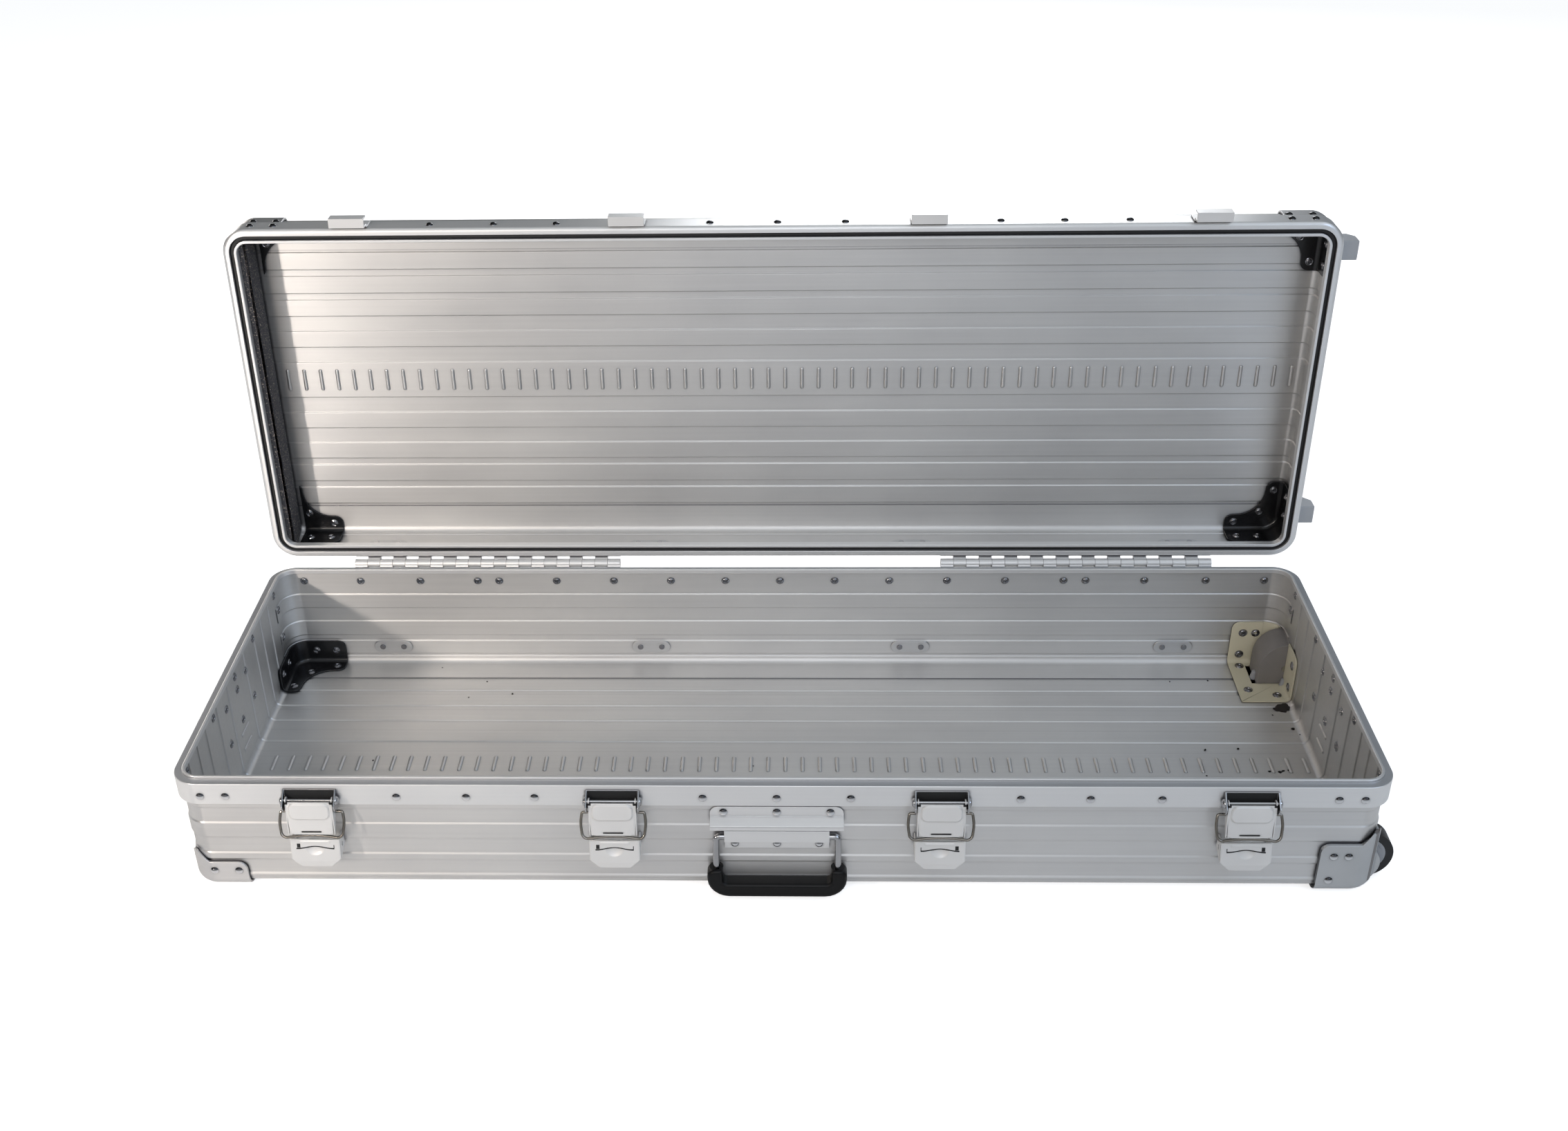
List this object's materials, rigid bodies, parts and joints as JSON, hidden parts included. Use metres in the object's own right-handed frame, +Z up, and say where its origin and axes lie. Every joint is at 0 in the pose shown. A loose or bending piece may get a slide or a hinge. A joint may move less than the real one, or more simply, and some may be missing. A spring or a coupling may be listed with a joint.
{
  "type": "long aluminium transport case",
  "caption": "Long wheeled aluminium transport case with its hinged lid open, toggle latches, drop handles and piano hinges.",
  "frame": {"origin": "On the floor, under the centre of the box round the case with its lid open.", "axes": "+X along the case towards its wheels, +Y from the latches to the hinges, +Z up from the floor."},
  "size_m": [1.2392, 0.4953, 0.5642],
  "materials": {
    "sheet": "satin",
    "rim": "satin",
    "guard": "satin",
    "casting": "satin",
    "rivet": "polished",
    "hardware": "satin",
    "latch": "satin",
    "grip": "matte",
    "nylon": "satin",
    "black_plate": "matte",
    "gasket": "matte",
    "tyre": "matte",
    "hub": "satin",
    "foam": "matte",
    "foot": "satin"
  },
  "bodies": {
    "base": {"base_floor_sheet": "sheet", "base_side_sheets": "sheet", "base_rim": "rim", "base_rivets_front": "rivet", "base_rivets_rear": "rivet", "base_rivets_ends": "rivet", "guard_front_left": "guard", "guard_rear_left": "guard", "wheel_corner_front": "casting", "wheel_corner_rear": "casting", "inner_plate_front_right": "nylon", "inner_plate_rear_right": "nylon", "inner_plates_left": "black_plate", "base_corner_rivets": "rivet", "hinge_leaf_base_left": "rim", "hinge_leaf_base_right": "rim", "hinge_pins": "hardware", "latch_brackets": "hardware", "latch_catches": "latch", "latch_pins": "hardware", "handle_plates": "hardware", "handle_rivets": "rivet", "base_backing_plates": "hardware", "base_backing_screws": "hardware", "base_bumpers": "gasket", "wheel_axles": "hardware"},
    "lid": {"lid_panel_sheet": "sheet", "lid_side_sheets": "sheet", "lid_rim": "rim", "lid_gasket": "gasket", "lid_rivets_front": "rivet", "lid_rivets_rear": "rivet", "lid_corner_guards": "guard", "lid_inner_plates": "black_plate", "lid_corner_rivets": "rivet", "foam_strip": "foam", "keepers": "latch", "hinge_leaf_lid_left": "rim", "hinge_leaf_lid_right": "rim", "lid_backing_plates": "hardware", "lid_backing_screws": "hardware", "standing_feet": "foot"},
    "lever_1": {"latch_lever_1": "latch"},
    "bail_1": {"latch_bail_1": "hardware"},
    "lever_2": {"latch_lever_2": "latch"},
    "bail_2": {"latch_bail_2": "hardware"},
    "lever_3": {"latch_lever_3": "latch"},
    "bail_3": {"latch_bail_3": "hardware"},
    "lever_4": {"latch_lever_4": "latch"},
    "bail_4": {"latch_bail_4": "hardware"},
    "handle_front": {"handle_wire_front": "hardware", "handle_grip_front": "grip"},
    "handle_left": {"handle_wire_left": "hardware", "handle_grip_left": "grip"},
    "handle_right": {"handle_wire_right": "hardware", "handle_grip_right": "grip"},
    "wheel_front": {"wheel_tyre_front": "tyre", "wheel_hub_front": "hub"},
    "wheel_rear": {"wheel_tyre_rear": "tyre", "wheel_hub_rear": "hub"}
  },
  "joints": [
    {"name": "lid_hinge", "type": "hinge", "parent": "base", "child": "lid", "pos_m": [0, 0.1877, 0.136], "axis": [1, 0, 0], "range_deg": [0, 91.1]},
    {"name": "lever_1_swing", "type": "hinge", "parent": "base", "child": "lever_1", "pos_m": [-0.459, -0.2324, 0.1204], "axis": [-1, 0, 0], "range_deg": [0, 95]},
    {"name": "bail_1_swing", "type": "hinge", "parent": "lever_1", "child": "bail_1", "pos_m": [-0.459, -0.2306, 0.1055], "axis": [1, 0, 0], "range_deg": [-144, 0]},
    {"name": "lever_2_swing", "type": "hinge", "parent": "base", "child": "lever_2", "pos_m": [-0.1605, -0.2324, 0.1204], "axis": [-1, 0, 0], "range_deg": [0, 95]},
    {"name": "bail_2_swing", "type": "hinge", "parent": "lever_2", "child": "bail_2", "pos_m": [-0.1605, -0.2306, 0.1055], "axis": [1, 0, 0], "range_deg": [-144, 0]},
    {"name": "lever_3_swing", "type": "hinge", "parent": "base", "child": "lever_3", "pos_m": [0.1605, -0.2324, 0.1204], "axis": [-1, 0, 0], "range_deg": [0, 95]},
    {"name": "bail_3_swing", "type": "hinge", "parent": "lever_3", "child": "bail_3", "pos_m": [0.1605, -0.2306, 0.1055], "axis": [1, 0, 0], "range_deg": [-144, 0]},
    {"name": "lever_4_swing", "type": "hinge", "parent": "base", "child": "lever_4", "pos_m": [0.459, -0.2324, 0.1204], "axis": [-1, 0, 0], "range_deg": [0, 95]},
    {"name": "bail_4_swing", "type": "hinge", "parent": "lever_4", "child": "bail_4", "pos_m": [0.459, -0.2306, 0.1055], "axis": [1, 0, 0], "range_deg": [-144, 0]},
    {"name": "handle_front_swing", "type": "hinge", "parent": "base", "child": "handle_front", "pos_m": [0, -0.2277, 0.073], "axis": [-1, 0, 0], "range_deg": [0, 82]},
    {"name": "handle_left_swing", "type": "hinge", "parent": "base", "child": "handle_left", "pos_m": [-0.6011, -0.0236, 0.076], "axis": [0, 1, 0], "range_deg": [0, 82]},
    {"name": "handle_right_swing", "type": "hinge", "parent": "base", "child": "handle_right", "pos_m": [0.6011, -0.0236, 0.076], "axis": [0, -1, 0], "range_deg": [0, 82]},
    {"name": "wheel_front_spin", "type": "hinge", "parent": "base", "child": "wheel_front", "pos_m": [0.5915, -0.1896, 0.028], "axis": [0, 1, 0], "continuous": true},
    {"name": "wheel_rear_spin", "type": "hinge", "parent": "base", "child": "wheel_rear", "pos_m": [0.5915, 0.1424, 0.028], "axis": [0, 1, 0], "continuous": true}
  ]
}
